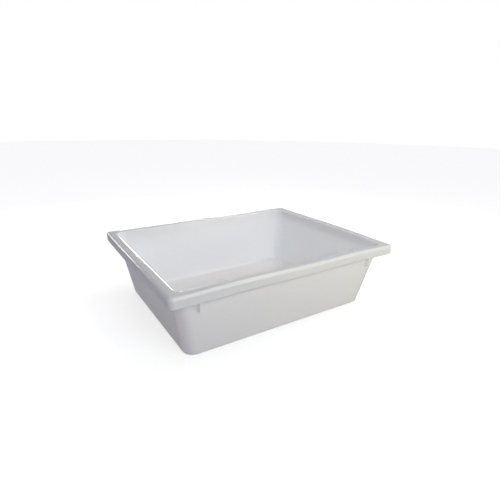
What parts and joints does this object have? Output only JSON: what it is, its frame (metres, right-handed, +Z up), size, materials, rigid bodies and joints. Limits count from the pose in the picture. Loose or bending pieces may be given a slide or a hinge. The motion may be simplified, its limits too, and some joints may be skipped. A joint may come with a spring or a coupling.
{
  "type": "developing tray",
  "caption": "Deep open rectangular darkroom tray of milky plastic, with leaning walls, rounded corners, a flat floor and a turned-down rim.",
  "frame": {"origin": "centre of the underside, which stands on the bench", "axes": "+X along the long side, +Y along the short side, towards the back, +Z up, out of the open top"},
  "size_m": [0.5, 0.39, 0.14],
  "materials": {
    "natural_polyethylene": "milky translucent natural polyethylene, waxy satin, finely scuffed"
  },
  "bodies": {
    "root": {"tray_shell": "natural_polyethylene"}
  },
  "joints": []
}
